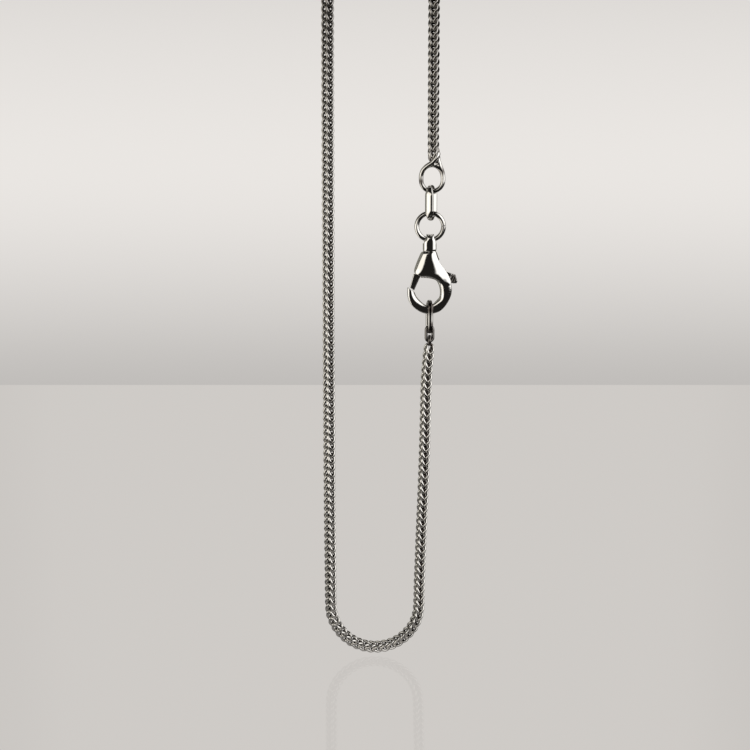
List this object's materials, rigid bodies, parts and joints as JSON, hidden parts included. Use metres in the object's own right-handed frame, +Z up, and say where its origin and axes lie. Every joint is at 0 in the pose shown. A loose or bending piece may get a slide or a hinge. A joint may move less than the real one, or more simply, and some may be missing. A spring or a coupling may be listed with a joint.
{
  "type": "foxtail chain necklace with a lobster clasp",
  "caption": "Fine polished foxtail chain necklace, fastened with a small lobster clasp and hanging in one long closed loop.",
  "frame": {"origin": "the point under the inside of the top bend, where the closed loop hangs", "axes": "+Z up along the hanging strands, +X across them towards the clasp's strand, +Y to the back"},
  "size_m": [0.0213, 0.003, 0.2184],
  "materials": {
    "chain_silver": "polished silver, woven wire",
    "ring_silver": "polished silver wire",
    "clasp_silver": "mirror polished silver",
    "lever_silver": "polished silver, a little duller"
  },
  "bodies": {
    "necklace": {"foxtail_chain": "chain_silver", "end_ring": "ring_silver", "connector_link": "ring_silver", "jump_ring": "ring_silver", "clasp_body": "clasp_silver", "clasp_rivet": "clasp_silver", "end_link": "ring_silver", "first_link": "ring_silver"},
    "lever": {"clasp_lever": "lever_silver"}
  },
  "joints": [
    {"name": "lever_rock", "type": "hinge", "parent": "necklace", "child": "lever", "pos_m": [0.00725, 0, -0.15215], "axis": [0, -1, 0], "range_deg": [0, 22], "stiffness_Nm_per_rad": 0.004, "springref_deg": -5.73}
  ]
}
